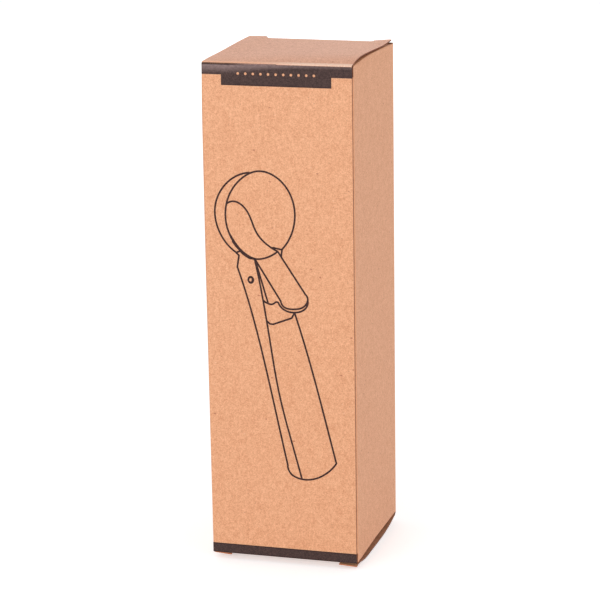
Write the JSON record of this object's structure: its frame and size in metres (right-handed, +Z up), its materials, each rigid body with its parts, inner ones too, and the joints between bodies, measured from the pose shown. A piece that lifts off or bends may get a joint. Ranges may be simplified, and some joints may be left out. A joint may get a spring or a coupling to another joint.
{
  "type": "kraft cardboard tuck-end box",
  "caption": "Tall kraft cardboard carton with tuck-in lids at both ends, printed bands and a line drawing on its front.",
  "frame": {"origin": "on the floor, below the middle of the carton's box", "axes": "+X to the right across the printed front, +Y from the front to the back, +Z up along the carton"},
  "size_m": [0.064, 0.0658, 0.2148],
  "materials": {
    "board": "matt natural kraft board with a fine fleck",
    "ink": "dark brown-black print with a slight sheen, on board"
  },
  "bodies": {
    "carton": {"carton_sleeve": "board", "top_band_print": "ink", "bottom_band_print": "ink", "scoop_outline_print": "ink"},
    "top_lid": {"top_lid": "board"},
    "bottom_lid": {"bottom_lid": "board"}
  },
  "joints": [
    {"name": "top_lid_hinge", "type": "hinge", "parent": "carton", "child": "top_lid", "pos_m": [0, -0.03265, 0.21275], "axis": [1, 0, 0], "range_deg": [0, 180]},
    {"name": "bottom_lid_hinge", "type": "hinge", "parent": "carton", "child": "bottom_lid", "pos_m": [0, 0.03265, 0.00275], "axis": [1, 0, 0], "range_deg": [0, 180]}
  ]
}
